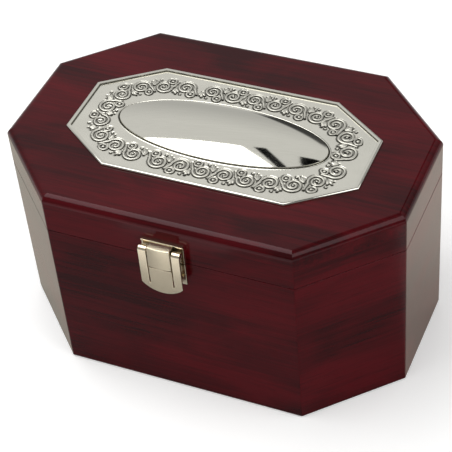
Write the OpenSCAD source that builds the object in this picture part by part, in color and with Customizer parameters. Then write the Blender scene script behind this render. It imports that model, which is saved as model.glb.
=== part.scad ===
// Eight-sided wooden keeping box for a citron, with a hinged lid, a pressed plaque and a spring hasp.
// Millimetres, Z up. The origin is the middle of the underside. The front, with the hasp, faces -Y.

/* [Box] */
// Length of the box, end to end
box_w = 170; // [160:1:190]
// Depth of the box, front to back, without the hasp
box_d = 113; // [105:1:130]
// Height of the closed box up to the top of the wood
box_h = 91.5; // [86:0.5:110]
// Corner cut, measured along each of the two sides that it joins
corner_cut = 33; // [28:0.5:36]
// Thickness of the wooden walls
wall_t = 9; // [8:0.5:11]
// Rounding of the upright corners
corner_round = 1.2; // [0.6:0.2:2.4]
// Rounding of the edge that stands on the table
foot_round = 1; // [0.5:0.1:1.5]

/* [Lid] */
// Height of the lid above the seam
lid_h = 17.5; // [16:0.5:22]
// Thickness of the lid's top panel
lid_panel_t = 8.5; // [7:0.5:10]
// Rounding of the lid's top edge
top_round = 3.5; // [2:0.25:5]
// Open line between the lid and the box
seam_gap = 0.25; // [0.2:0.05:0.6]
// Easing of the two edges along the seam
seam_ease = 0.2; // [0.2:0.1:0.8]
// Thickness of the padded panel inside the lid
lid_pad_t = 5; // [3:0.5:6]
// Space between the padded panel and the rails around it
lid_pad_clear = 0.4; // [0.2:0.1:1]

/* [Bottom] */
// Thickness of the bottom panel
base_panel_t = 5; // [4:0.5:6]
// Thickness of the felt under the bottom panel
felt_t = 1; // [0.6:0.2:1.6]
// Depth of the rebate in the walls that takes the bottom panel
rebate_d = 3.5; // [2:0.5:4]
// Space around the felt in the rebate
felt_clear = 0.3; // [0.1:0.1:1]

/* [Lining and cushion] */
// Thickness of the cloth-covered lining boards
lining_t = 1.6; // [1:0.2:2.4]
// Gap between neighbouring lining boards
lining_joint = 0.2; // [0.1:0.05:0.4]
// Height of the lining's lip above the rim of the box
lip_h = 1.5; // [0.5:0.25:2]
// Thickness of the floor cushion at its edge
cushion_t = 16; // [13:1:20]
// Space between the cushion and the lining
cushion_clear = 0.3; // [0.1:0.1:1]
// Rounding of the cushion's top edge
cushion_round = 4; // [2:0.5:6]
// Length of the fruit form that presses the hollow
fruit_len = 110; // [90:1:120]
// Largest radius of the fruit form
fruit_r = 30; // [26:0.5:34]
// Depth of the hollow in the cushion
hollow_depth = 9; // [5:0.5:10]

/* [Plaque] */
// Place of the plaque along the lid, from the middle
plaque_x = 0.9; // [-3:0.1:3]
// Place of the plaque across the lid, from the middle toward the hinges
plaque_y = -0.5; // [-3:0.1:3]
// Length of the plaque
plaque_w = 125; // [112:1:132]
// Depth of the plaque, front to back
plaque_d = 64; // [58:1:72]
// Corner cut of the plaque along its length
plaque_cut_x = 24.2; // [18:0.2:28]
// Corner cut of the plaque along its depth
plaque_cut_y = 17.4; // [12:0.2:20]
// Thickness of the plaque at its rim
plaque_t = 1.1; // [0.8:0.1:1.6]
// Width of the rim's outer bevel
plaque_bevel = 0.7; // [0.3:0.1:1.2]
// Width of the rim, bevel included
plaque_rim = 1.8; // [1.4:0.1:2.6]
// Drop from the rim to the field inside it
plaque_drop = 0.7; // [0.2:0.1:0.7]
// Half length of the oval dome
dome_a = 44.5; // [38:0.5:48]
// Half depth of the oval dome
dome_b = 16.4; // [13:0.2:19]
// Height of the dome's upright edge above the field
dome_step = 0.5; // [0.3:0.1:1]
// Rise of the dome above its upright edge
dome_rise = 2.8; // [1.6:0.1:4]
// Metal left between the dome's crown and the hollow under it
dome_skin = 0.7; // [0.5:0.1:1]

/* [Hasp] */
// Place of the hasp along the front, from the middle
hasp_x = -1; // [-4:0.1:4]
// Width of the hasp, flap and plates alike
hasp_w = 17.4; // [16:0.2:22]
// Thickness of the two plates that are screwed to the wood
plate_t = 0.8; // [0.6:0.1:1.2]
// Thickness of the flap's and the tongue's sheet
sheet_t = 0.85; // [0.7:0.05:0.9]
// Radius of the hasp pin
pin_r = 0.8; // [0.6:0.05:0.85]
// Radial clearance of the hasp pin in the rolled eyes
pin_fit = 0.05; // [0.02:0.01:0.08]
// Distance from the front of the box to the hasp pin
pin_out = 3.3; // [3:0.1:4]
// Height of the hasp pin above the seam
pin_rise = 6.4; // [5.8:0.1:6.7]
// Height of the hasp plate's top above the seam
plate_rise = 9.4; // [9.2:0.1:12]
// Reach of the flange along the hasp plate's top
flange_out = 1.7; // [1:0.1:2.2]
// Slope of the shelf between the flange and the hanging tongue, in degrees
shelf_slope = 15; // [8:1:20]
// Outer radius of the bend between the shelf and the hanging tongue
bend_r = 1; // [1:0.1:1.6]
// Gap between the seam and the two plates
plate_gap = 0.2; // [0.1:0.05:0.6]
// Width of the tongue between the flap's rails
tongue_w = 9.6; // [8:0.2:10]
// Width of the slots beside the tongues
slot_w = 0.45; // [0.35:0.05:0.8]
// Distance of the tongue's lower end below the seam
tongue_drop = 1; // [0.9:0.1:1.2]
// Gap between the hanging tongue and the flap's spring tongue
spring_gap = 0.4; // [0.35:0.05:0.5]
// Distance of the flap's lower end below the seam
flap_drop = 14.1; // [12.4:0.1:18]
// Radius of the flap's rounded lower end
flap_end_r = 11.5; // [10.5:0.5:13]
// Distance of the slots' lower end below the seam
slot_drop = 9.8; // [7:0.1:10.4]
// Distance from the front of the box to the catch lip's edge
catch_out = 3; // [2.4:0.1:3.2]
// Overlap of the spring tongue's hook under the catch lip
hook_overlap = 0.8; // [0.4:0.1:1]
// Distance of the catch plate's lower end below the seam
catch_drop = 10.9; // [9:0.1:12]

/* [Hinges] */
// Distance between the middles of the two hinges
hinge_spacing = 60; // [40:1:66]
// Length of a hinge
hinge_len = 26; // [20:1:30]
// Reach of a leaf from the hinge's axis into the wall
leaf_d = 6.3; // [5:0.1:6.4]
// Thickness of a leaf
leaf_t = 0.9; // [0.7:0.1:1.2]
// Radius of a knuckle
knuckle_r = 1.7; // [1.5:0.05:1.85]
// Radius of a hinge pin
hinge_pin_r = 0.75; // [0.6:0.05:0.9]
// Radial clearance of a hinge pin in its knuckles
hinge_pin_fit = 0.04; // [0.02:0.01:0.08]
// Length of the middle knuckle
knuckle_mid = 8.6; // [7:0.2:10]
// Gap between neighbouring knuckles along the pin
knuckle_gap = 0.2; // [0.1:0.05:0.4]
// Clearance around a knuckle in the wood and in the other leaf
knuckle_clear = 0.25; // [0.15:0.05:0.3]
// Clearance around a leaf in its pocket
leaf_clear = 0.1; // [0.05:0.05:0.2]
// Distance of the hinge axis inside the back of the box
hinge_inset = 2.1; // [2:0.1:2.6]
// Half angle of the groove along the back that lets the lid open
groove_angle = 48; // [46:0.5:55]

/* [Screws] */
// Shank radius of the hinge screws
hinge_screw_r = 0.9; // [0.7:0.05:1]
// Head radius of the hinge screws
hinge_screw_head_r = 1.7; // [1.4:0.05:1.9]
// Distance of a hinge screw from the end of its leaf
hinge_screw_end = 4.4; // [3:0.1:5]
// Distance of a hinge screw from the inner edge of its leaf
hinge_screw_edge = 2.6; // [2.2:0.1:2.6]
// Length of the hinge screws
hinge_screw_len = 6.5; // [5:0.5:7]
// Shank radius of the hasp screws
hasp_screw_r = 0.7; // [0.6:0.05:0.9]
// Head radius of the hasp screws
hasp_screw_head_r = 1.3; // [1.1:0.05:1.6]
// Head height of the hasp screws
hasp_screw_head_h = 0.6; // [0.4:0.1:0.9]
// Distance of a hasp screw from the side of its plate
hasp_screw_edge = 2.3; // [1.8:0.1:2.6]
// Height of the hasp plate's screws above its lower edge
hasp_screw_up = 3; // [2:0.1:3.4]
// Height of the catch plate's screws above its lower edge
catch_screw_up = 4.4; // [2:0.1:6]
// Length of the hasp screws in the wood
hasp_screw_len = 6; // [4:0.5:7]
// Radial clearance around a screw
screw_clear = 0.05; // [0.03:0.01:0.1]

/* [Hidden] */
$fn = 48;

WOOD = [0.30, 0.07, 0.08];
METAL = [0.78, 0.76, 0.70];
SILVER = [0.80, 0.80, 0.78];
CLOTH = [0.90, 0.85, 0.74];
FELT = [0.12, 0.09, 0.08];

// Sides are numbered from 0 at the front, counter-clockwise from above.
FRONT = 0;
FRONT_RIGHT = 1;
RIGHT = 2;
BACK_RIGHT = 3;
BACK = 4;
BACK_LEFT = 5;
LEFT = 6;
FRONT_LEFT = 7;
arc_steps = 4;

seam_z = box_h - lid_h;
rim_z = seam_z - seam_gap / 2;
rail_z = seam_z + seam_gap / 2;
rail_top_z = box_h - lid_panel_t;
floor_z = felt_t + base_panel_t;
cushion_z = floor_z + cushion_t;
hinge_y = box_d / 2 - hinge_inset;
hinge_screw_x = hinge_len / 2 - hinge_screw_end;
hinge_screw_y = hinge_screw_edge - leaf_d;
hinge_screw_head_h = leaf_t;

pin_z = seam_z + pin_rise;
eye_r = pin_r + pin_fit + sheet_t;
flap_out = pin_out + eye_r;
plate_top = seam_z + plate_rise;
bend_y = flap_out - bend_r;
shelf_end_y = bend_y + bend_r * sin(shelf_slope);
shelf_end_z = plate_top - (shelf_end_y - flange_out) * tan(shelf_slope);
bend_z = shelf_end_z - bend_r * cos(shelf_slope);
tongue_end = seam_z - tongue_drop;
spring_top = tongue_end - spring_gap;
flap_end = seam_z - flap_drop;
slot_end = seam_z - slot_drop;
catch_top = rim_z - plate_gap;
catch_end = seam_z - catch_drop;
rail_w = hasp_w / 2 - tongue_w / 2 - slot_w;
hook_in = catch_out - hook_overlap;
hasp_plate_z = rail_z + plate_gap;
hasp_screw_x = hasp_w / 2 - hasp_screw_edge;
hasp_screw_z = hasp_plate_z + hasp_screw_up;
catch_screw_z = catch_end + catch_screw_up;

// Octagon with its corner cuts given along both directions
function octagon(w, d, cx, cy) =
  let (a = w / 2, b = d / 2)
  [[cx - a, -b], [a - cx, -b], [a, cy - b], [a, b - cy],
   [a - cx, b], [cx - a, b], [-a, b - cy], [-a, cy - b]];

// The box's octagon, drawn in by t on every side
function ring(t) =
  let (c = corner_cut - t * (2 - sqrt(2)))
  octagon(box_w - 2 * t, box_d - 2 * t, c, c);

function facing(i) = 45 * i - 90;

// Arc of an upright corner of the ring that is drawn in by t, between two fractions of its turn
function corner_arc(i, t, r, from, to) =
  let (c = ring(t + r)[i])
  [for (k = [0 : arc_steps])
    let (a = facing(i) - 45 + 45 * (from + (to - from) * k / arc_steps))
    c + r * [cos(a), sin(a)]];

// Mitred plan of side i between two insets, with half of each rounded corner
function stave(i, outer, inner) =
  let (j = (i + 1) % 8)
  concat(
    corner_arc(i, outer, corner_round, 0.5, 1),
    corner_arc(j, outer, corner_round, 0, 0.5),
    [ring(inner)[j], ring(inner)[i]]
  );

function rounded_ring(t, r) = [for (i = [0 : 7]) each corner_arc(i, t, r, 0, 1)];

// Octagon with free corner cuts, drawn in by t on every side
function plaque_ring(t) =
  let (slant = norm([plaque_cut_x, plaque_cut_y]),
       cx = plaque_cut_x - t * (1 + (plaque_cut_x - slant) / plaque_cut_y),
       cy = plaque_cut_y - t * (1 + (plaque_cut_y - slant) / plaque_cut_x))
  octagon(plaque_w - 2 * t, plaque_d - 2 * t, cx, cy);

function oval(a, b) = [for (k = [0 : 79]) [a * cos(4.5 * k), b * sin(4.5 * k)]];

// Draws a flat profile in Y and Z and pulls it out along X
module bar(length) {
  rotate([90, 0, 90]) linear_extrude(length, center = true) children();
}

// Moves to the middle of side i, where -Y faces outward as it does on the front
module on_side(i) {
  p = ring(0)[i];
  q = ring(0)[(i + 1) % 8];
  translate([(p.x + q.x) / 2, (p.y + q.y) / 2, 0]) rotate([0, 0, facing(i) + 90]) children();
}

// Moves to the hasp's place on the front, where +Y is the distance out from the wood
module on_front() {
  translate([hasp_x, -box_d / 2, 0]) mirror([0, 1, 0]) children();
}

// Cutter that rounds a side's outer edge: up = 1 for the edge at the bottom, -1 for one at the top
module edge_cut(i, z, r, up) {
  on_side(i) translate([0, 0, z]) bar(box_w) mirror([0, up > 0 ? 0 : 1]) difference() {
    translate([-1, -1]) square(r + 1);
    translate([r, r]) circle(r);
  }
}

module groove(side) {
  reach = hinge_inset + 1;
  translate([0, hinge_y, seam_z]) bar(box_w)
    polygon([[0, 0], [reach, side * reach * tan(groove_angle)], [reach, -side], [0, -side]]);
}

module at_hinge(x) {
  translate([x, hinge_y, seam_z]) children();
}

module at_hinges() {
  for (x = [-hinge_spacing / 2, hinge_spacing / 2]) at_hinge(x) children();
}

module at_hinge_screws(side) {
  for (x = [-hinge_screw_x, hinge_screw_x]) {
    translate([x, hinge_screw_y, side * seam_gap / 2]) mirror([0, 0, side > 0 ? 1 : 0]) children();
  }
}

module along_x(r, length) {
  rotate([0, 90, 0]) cylinder(r = r, h = length, center = true);
}

// Countersunk screw that points down from its flush head
module sunk_screw(grow) {
  tip = hinge_screw_len + grow;
  rotate_extrude() polygon([
    [0, 0], [hinge_screw_head_r + grow, 0], [hinge_screw_r + grow, -hinge_screw_head_h],
    [hinge_screw_r + grow, hinge_screw_r - tip], [0, -tip]
  ]);
}

// Flat-headed screw that points toward -Y from the plate's face
module flat_screw(grow) {
  tip = plate_t + hasp_screw_len + grow;
  rotate([-90, 0, 0]) rotate_extrude() polygon([
    [0, hasp_screw_head_h], [hasp_screw_head_r * 0.7, hasp_screw_head_h], [hasp_screw_head_r, 0],
    [hasp_screw_r + grow, 0], [hasp_screw_r + grow, hasp_screw_r - tip], [0, -tip]
  ]);
}

module at_hasp_screws(z) {
  for (x = [-hasp_screw_x, hasp_screw_x]) translate([x, plate_t, z]) children();
}

// Pocket for one hinge in the box (side -1) or in the lid (side 1)
module hinge_pocket(side) {
  deep = seam_gap / 2 + leaf_t;
  length = hinge_len + 2 * leaf_clear;
  translate([-length / 2, -leaf_d - leaf_clear, side < 0 ? -deep : -1])
    cube([length, leaf_d + leaf_clear, deep + 1]);
  along_x(knuckle_r + knuckle_clear, length + 2 * leaf_clear);
  at_hinge_screws(side) sunk_screw(screw_clear);
}

module base_wall(i) {
  color(WOOD) difference() {
    linear_extrude(rim_z) polygon(stave(i, 0, wall_t));
    edge_cut(i, 0, foot_round, 1);
    edge_cut(i, rim_z, seam_ease, -1);
    translate([0, 0, -1]) linear_extrude(floor_z + 1) polygon(ring(wall_t - rebate_d));
    if (i == BACK || i == BACK_LEFT || i == BACK_RIGHT) groove(-1);
    if (i == BACK) at_hinges() hinge_pocket(-1);
    if (i == FRONT) on_front() at_hasp_screws(catch_screw_z) flat_screw(screw_clear);
  }
}

module lid_rail(i) {
  color(WOOD) difference() {
    translate([0, 0, rail_z]) linear_extrude(rail_top_z - rail_z) polygon(stave(i, 0, wall_t));
    edge_cut(i, rail_z, seam_ease, 1);
    if (i == BACK || i == BACK_LEFT || i == BACK_RIGHT) groove(1);
    if (i == BACK) at_hinges() hinge_pocket(1);
    if (i == FRONT) on_front() at_hasp_screws(hasp_screw_z) flat_screw(screw_clear);
  }
}

module base_wall_front() { base_wall(FRONT); }
module base_wall_front_right() { base_wall(FRONT_RIGHT); }
module base_wall_right() { base_wall(RIGHT); }
module base_wall_back_right() { base_wall(BACK_RIGHT); }
module base_wall_back() { base_wall(BACK); }
module base_wall_back_left() { base_wall(BACK_LEFT); }
module base_wall_left() { base_wall(LEFT); }
module base_wall_front_left() { base_wall(FRONT_LEFT); }

module lid_rail_front() { lid_rail(FRONT); }
module lid_rail_front_right() { lid_rail(FRONT_RIGHT); }
module lid_rail_right() { lid_rail(RIGHT); }
module lid_rail_back_right() { lid_rail(BACK_RIGHT); }
module lid_rail_back() { lid_rail(BACK); }
module lid_rail_back_left() { lid_rail(BACK_LEFT); }
module lid_rail_left() { lid_rail(LEFT); }
module lid_rail_front_left() { lid_rail(FRONT_LEFT); }

module base_panel() {
  color(WOOD) translate([0, 0, felt_t]) linear_extrude(base_panel_t) polygon(ring(wall_t - rebate_d));
}

module base_felt() {
  color(FELT) linear_extrude(felt_t) polygon(ring(wall_t - rebate_d + felt_clear));
}

// Eight flat boards that lean against the walls, mitred where they meet
module wall_lining() {
  color(CLOTH) translate([0, 0, floor_z]) for (i = [0 : 7]) {
    j = (i + 1) % 8;
    outer = ring(wall_t);
    inner = ring(wall_t + lining_t);
    along = outer[j] - outer[i];
    back = along * lining_joint / (2 * norm(along));
    linear_extrude(rim_z + lip_h - floor_z)
      polygon([outer[i] + back, outer[j] - back, inner[j] - back, inner[i] + back]);
  }
}

// Solid of revolution in the shape of the fruit, along X
module fruit_form() {
  sweep_r = (fruit_len * fruit_len / 4 + fruit_r * fruit_r) / (2 * fruit_r);
  rotate([0, 90, 0]) rotate_extrude() intersection() {
    translate([fruit_r - sweep_r, 0]) circle(sweep_r, $fn = 96);
    translate([0, -fruit_len / 2]) square([fruit_r, fruit_len]);
  }
}

// Bar with both top edges rounded, across the box at the angle of one pair of sides
module rounded_bar(width, z0, z1, r, angle) {
  rotate([0, 0, angle]) bar(2 * box_w) {
    translate([-width / 2, z0]) square([width, z1 - z0 - r]);
    translate([r - width / 2, z0]) square([width - 2 * r, z1 - z0]);
    for (y = [r - width / 2, width / 2 - r]) translate([y, z1 - r]) circle(r);
  }
}

// Octagonal slab whose top edge is rounded all the way round
module rounded_slab(t, z0, z1, r) {
  across = sqrt(2) * (box_w / 2 + box_d / 2 - corner_cut) - 2 * t;
  intersection() {
    rounded_bar(box_d - 2 * t, z0, z1, r, 0);
    rounded_bar(across, z0, z1, r, 45);
    rounded_bar(box_w - 2 * t, z0, z1, r, 90);
    rounded_bar(across, z0, z1, r, 135);
    translate([0, 0, z0]) linear_extrude(z1 - z0) polygon(rounded_ring(t, corner_round));
  }
}

module floor_cushion() {
  color(CLOTH) difference() {
    rounded_slab(wall_t + lining_t + cushion_clear, floor_z, cushion_z, cushion_round);
    translate([0, 0, cushion_z + fruit_r - hollow_depth]) fruit_form();
  }
}

module lid_panel() {
  color(WOOD) rounded_slab(0, rail_top_z, box_h, top_round);
}

module lid_pad() {
  color(CLOTH) translate([0, 0, rail_top_z - lid_pad_t]) linear_extrude(lid_pad_t)
    polygon(ring(wall_t + lid_pad_clear));
}

// Bar with both top edges bevelled, for one pair of the plaque's sides
module bevelled_bar(width, angle) {
  rotate([0, 0, angle]) bar(2 * plaque_w) polygon([
    [-width / 2, 0], [width / 2, 0], [width / 2, plaque_t - plaque_bevel],
    [width / 2 - plaque_bevel, plaque_t], [plaque_bevel - width / 2, plaque_t],
    [-width / 2, plaque_t - plaque_bevel]
  ]);
}

// Oval dome on an upright edge: its crown is part of a ring that turns about an axis along X
module dome(a, b, top) {
  rise = dome_rise;
  long_r = (a * a + rise * rise) / (2 * rise);
  cross_r = (b * b + rise * rise) / (2 * rise);
  intersection() {
    linear_extrude(top) polygon(oval(a, b));
    translate([0, 0, top - cross_r]) rotate([0, 90, 0]) rotate_extrude($fn = 180) intersection() {
      translate([cross_r - long_r, 0]) circle(long_r, $fn = 360);
      translate([0, -a - 1]) square([cross_r, 2 * a + 2]);
    }
  }
}

module plaque() {
  slant = norm([plaque_cut_x, plaque_cut_y]);
  turn = atan2(plaque_cut_y, plaque_cut_x);
  reach = plaque_cut_y * plaque_w / 2 + plaque_cut_x * plaque_d / 2 - plaque_cut_x * plaque_cut_y;
  field = plaque_t - plaque_drop;
  top = field + dome_step + dome_rise;
  color(SILVER) translate([plaque_x, plaque_y, box_h]) difference() {
    union() {
      difference() {
        intersection() {
          bevelled_bar(plaque_d, 0);
          bevelled_bar(plaque_w, 90);
          bevelled_bar(2 * reach / slant, turn);
          bevelled_bar(2 * reach / slant, -turn);
        }
        translate([0, 0, field]) linear_extrude(plaque_t) polygon(plaque_ring(plaque_rim));
      }
      dome(dome_a, dome_b, top);
    }
    translate([0, 0, -0.01]) dome(dome_a - dome_skin, dome_b - dome_skin, top - dome_skin);
  }
}

// Side profile of the strip: shelf, bend, hanging tongue, and the eye rolled under the shelf
module strip_profile() {
  inner_r = bend_r - sheet_t;
  across = [sin(shelf_slope), cos(shelf_slope)];
  polygon([
    [0, plate_top - plate_t], [0, plate_top], [flange_out, plate_top], [shelf_end_y, shelf_end_z],
    [bend_y, bend_z] + inner_r * across, [flange_out, plate_top - plate_t]
  ]);
  translate([bend_y, bend_z]) intersection() {
    difference() {
      circle(bend_r);
      circle(inner_r);
    }
    polygon([[0, 0], [2 * bend_r, 0], [2 * bend_r, 2 * bend_r], 2 * bend_r * across]);
  }
  translate([flap_out - sheet_t, tongue_end]) square([sheet_t, bend_z - tongue_end]);
  translate([pin_out, pin_z]) circle(eye_r);
}

// Lid half of the hasp: screwed plate with a flange, and the strip that ends in the hanging tongue
module hasp_plate() {
  color(METAL) on_front() difference() {
    union() {
      translate([-hasp_w / 2, 0, hasp_plate_z]) cube([hasp_w, plate_t, plate_top - hasp_plate_z]);
      translate([-hasp_w / 2, 0, plate_top - plate_t]) cube([hasp_w, flange_out, plate_t]);
      bar(tongue_w) strip_profile();
    }
    translate([0, pin_out, pin_z]) along_x(pin_r + pin_fit, hasp_w);
    at_hasp_screws(hasp_screw_z) flat_screw(screw_clear);
  }
}

module hasp_plate_screws() {
  color(METAL) on_front() at_hasp_screws(hasp_screw_z) flat_screw(0);
}

module hasp_pin() {
  color(METAL) on_front() translate([0, pin_out, pin_z]) along_x(pin_r, hasp_w);
}

module flap_outline() {
  half_notch = tongue_w / 2 + slot_w;
  difference() {
    intersection() {
      translate([-hasp_w / 2, flap_end]) square([hasp_w, pin_z - flap_end]);
      union() {
        translate([0, flap_end + flap_end_r]) circle(flap_end_r, $fn = 96);
        translate([-hasp_w / 2, flap_end + flap_end_r]) square([hasp_w, pin_z]);
      }
    }
    translate([-half_notch, spring_top]) square([2 * half_notch, pin_z]);
    for (x = [-half_notch, half_notch - slot_w]) {
      translate([x, slot_end]) square([slot_w, pin_z]);
    }
  }
}

// Moving half of the hasp: two rails with rolled eyes, a rounded end and a spring tongue with a hook
module hasp_flap() {
  color(METAL) on_front() difference() {
    union() {
      translate([0, flap_out, 0]) rotate([90, 0, 0]) linear_extrude(sheet_t) flap_outline();
      for (x = [rail_w / 2 - hasp_w / 2, hasp_w / 2 - rail_w / 2]) {
        translate([x, pin_out, pin_z]) along_x(eye_r, rail_w);
      }
      translate([-tongue_w / 2, hook_in, spring_top - sheet_t]) cube([tongue_w, flap_out - hook_in, sheet_t]);
    }
    translate([0, pin_out, pin_z]) along_x(pin_r + pin_fit, hasp_w + 1);
  }
}

// Lower half of the hasp: screwed plate with the lip that the hook snaps under
module catch_plate() {
  color(METAL) on_front() difference() {
    union() {
      translate([-hasp_w / 2, 0, catch_end]) cube([hasp_w, plate_t, catch_top - catch_end]);
      translate([-tongue_w / 2, 0, catch_top - plate_t]) cube([tongue_w, catch_out, plate_t]);
    }
    at_hasp_screws(catch_screw_z) flat_screw(screw_clear);
  }
}

module catch_plate_screws() {
  color(METAL) on_front() at_hasp_screws(catch_screw_z) flat_screw(0);
}

// The outer knuckles belong to the box's leaf, the middle one to the lid's leaf
module outer_knuckles(r, grow) {
  length = (hinge_len - knuckle_mid) / 2 - knuckle_gap + grow;
  for (x = [-1, 1]) translate([x * (hinge_len / 2 - length / 2), 0, 0]) along_x(r, length);
}

module middle_knuckle(r, grow) {
  along_x(r, knuckle_mid + grow);
}

module leaf_plate(side) {
  z = side < 0 ? -seam_gap / 2 - leaf_t : seam_gap / 2;
  translate([-hinge_len / 2, -leaf_d, z]) cube([hinge_len, leaf_d, leaf_t]);
}

module base_leaf() {
  color(METAL) difference() {
    union() {
      difference() {
        leaf_plate(-1);
        middle_knuckle(knuckle_r + knuckle_clear, 2 * knuckle_gap);
      }
      outer_knuckles(knuckle_r, 0);
    }
    along_x(hinge_pin_r + hinge_pin_fit, hinge_len + 1);
    at_hinge_screws(-1) sunk_screw(screw_clear);
  }
}

module lid_leaf() {
  color(METAL) difference() {
    union() {
      difference() {
        leaf_plate(1);
        outer_knuckles(knuckle_r + knuckle_clear, knuckle_gap);
      }
      middle_knuckle(knuckle_r, 0);
    }
    along_x(hinge_pin_r + hinge_pin_fit, hinge_len + 1);
    at_hinge_screws(1) sunk_screw(screw_clear);
  }
}

module hinge_pin() {
  color(METAL) along_x(hinge_pin_r, hinge_len);
}

module hinge_base_leaf_left() { at_hinge(-hinge_spacing / 2) base_leaf(); }
module hinge_base_leaf_right() { at_hinge(hinge_spacing / 2) base_leaf(); }
module hinge_lid_leaf_left() { at_hinge(-hinge_spacing / 2) lid_leaf(); }
module hinge_lid_leaf_right() { at_hinge(hinge_spacing / 2) lid_leaf(); }
module hinge_pin_left() { at_hinge(-hinge_spacing / 2) hinge_pin(); }
module hinge_pin_right() { at_hinge(hinge_spacing / 2) hinge_pin(); }

module hinge_base_screws() {
  color(METAL) at_hinges() at_hinge_screws(-1) sunk_screw(0);
}

module hinge_lid_screws() {
  color(METAL) at_hinges() at_hinge_screws(1) sunk_screw(0);
}

base_wall_front();
base_wall_front_right();
base_wall_right();
base_wall_back_right();
base_wall_back();
base_wall_back_left();
base_wall_left();
base_wall_front_left();
base_panel();
base_felt();
wall_lining();
floor_cushion();
lid_rail_front();
lid_rail_front_right();
lid_rail_right();
lid_rail_back_right();
lid_rail_back();
lid_rail_back_left();
lid_rail_left();
lid_rail_front_left();
lid_panel();
lid_pad();
plaque();
hasp_plate();
hasp_plate_screws();
hasp_pin();
hasp_flap();
catch_plate();
catch_plate_screws();
hinge_base_leaf_left();
hinge_base_leaf_right();
hinge_lid_leaf_left();
hinge_lid_leaf_right();
hinge_pin_left();
hinge_pin_right();
hinge_base_screws();
hinge_lid_screws();
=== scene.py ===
"""Dresses the eight-sided citron box: lacquer, pressed plaque, spring hasp, hinges and lining."""

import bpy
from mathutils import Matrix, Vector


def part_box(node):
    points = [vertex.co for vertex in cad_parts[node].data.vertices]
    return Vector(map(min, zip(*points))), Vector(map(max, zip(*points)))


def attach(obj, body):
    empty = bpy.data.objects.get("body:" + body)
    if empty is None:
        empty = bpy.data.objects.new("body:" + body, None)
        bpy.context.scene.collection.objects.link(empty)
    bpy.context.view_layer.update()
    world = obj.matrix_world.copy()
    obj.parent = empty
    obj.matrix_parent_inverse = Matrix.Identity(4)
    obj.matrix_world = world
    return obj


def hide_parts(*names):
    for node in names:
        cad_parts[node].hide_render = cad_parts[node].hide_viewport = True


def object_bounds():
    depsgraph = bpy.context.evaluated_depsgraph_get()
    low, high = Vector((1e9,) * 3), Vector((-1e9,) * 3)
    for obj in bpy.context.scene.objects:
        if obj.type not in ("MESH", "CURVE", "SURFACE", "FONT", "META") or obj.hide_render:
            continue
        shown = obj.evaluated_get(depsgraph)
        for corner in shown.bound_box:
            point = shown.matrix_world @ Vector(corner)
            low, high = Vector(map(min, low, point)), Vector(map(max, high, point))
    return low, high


bl_info = {
    "name": "Citron Box",
    "version": (1, 0, 0),
    "blender": (4, 5, 0),
    "location": "View3D > Sidebar > Citron Box",
    "description": "Builds the visible pieces of a lacquered keeping box around its packed frame",
    "category": "Object",
}

import bisect
import math
import random

import bmesh
import bpy
from bpy.props import FloatProperty, FloatVectorProperty, IntProperty, PointerProperty
from mathutils import Matrix, Vector, kdtree

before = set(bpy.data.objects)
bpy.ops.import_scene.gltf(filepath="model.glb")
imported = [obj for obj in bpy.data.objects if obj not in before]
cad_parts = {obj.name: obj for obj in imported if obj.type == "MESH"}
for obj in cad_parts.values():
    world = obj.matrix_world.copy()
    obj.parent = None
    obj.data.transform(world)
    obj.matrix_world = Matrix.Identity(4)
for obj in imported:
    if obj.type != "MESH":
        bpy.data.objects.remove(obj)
CAD_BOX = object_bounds()

MM = 0.001
# Points closer together than this are welded
WELD = 0.001 * MM
# What an eight-sided outline's corner cut loses for each unit that the outline is inset
MITRE = 2 - math.sqrt(2)
SIDES = ("front", "front_right", "right", "back_right", "back", "back_left", "left", "front_left")
PLAQUE_LOW, PLAQUE_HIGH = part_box("plaque")
FLAP_LOW, FLAP_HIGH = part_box("hasp_flap")
PLATE_LOW, PLATE_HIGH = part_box("hasp_plate")
CATCH_LOW, CATCH_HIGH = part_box("catch_plate")
PIN_LOW, PIN_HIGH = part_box("hasp_pin")
LINING_LOW, LINING_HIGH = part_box("wall_lining")
FELT_LOW, FELT_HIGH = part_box("base_felt")
FRONT_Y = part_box("base_wall_front")[0].y
PIN_AXIS = (PIN_LOW + PIN_HIGH) / 2
PLAQUE_MIDDLE = (PLAQUE_LOW + PLAQUE_HIGH) / 2

# A mapping node of this kind counts Object coordinates in features of a real size
REAL_SIZE = {"vector_type": "TEXTURE"}

# Steps of the plaque's mesh: round the band, up the dome, across the ground, over the edge, in a scroll's turn
BAND_STEPS, CROWN_STEPS, GROUND_STEPS, ROUNDING_STEPS, VOLUTE_STEPS = 900, 18, 40, 4, 26
# Groove round the dome in mm: reach past the dome's edge, height over the field, and oxide
GROOVE = ((0.1, 0.36, 0), (0.2, -0.3, 1), (0.55, -0.3, 1), (0.75, 0.05, 0), (0.95, 0.1, 0), (1.2, 0, 0))
# One scroll in mm, along the band's middle line and out from it; a third number counts stem or bead radii
EYE, CURL, BERRY, LEAF_ROOT = (0, 0.3), (-3.0, -3.5), (1.6, -4.2), (4.3, -0.9)
ARCH = ((-5.6, -3.3, 0.7), (-4.9, -2.0, 0.85), (-4.2, -0.5, 1))
LOBES = ((2.4, -3.2, 1.3), (3.7, -4.3, 1.5), (5.0, -3.4, 1.2))
BEADS = ((*EYE, 0.7), (*CURL, 0.9), (*BERRY, 0.7))

# Steps of the flap's rounded end and of its rolled eyes, and the turn of an eye
END_STEPS, EYE_STEPS, EYE_TURN = 20, 24, math.radians(300)
# Steps across the hanging tongue, and round the bend above it
TONGUE_STEPS, BEND_STEPS = 12, 8
# Rounding of the hasp's small inner pieces, and of the lid plate
FINE_EDGE, PLATE_EDGE = 0.15 * MM, 0.12 * MM
# Edges this sharp, in degrees, stay sharp on the hasp, so that its flat faces shine flat and its bends smooth
HASP_SHARP = 14

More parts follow.
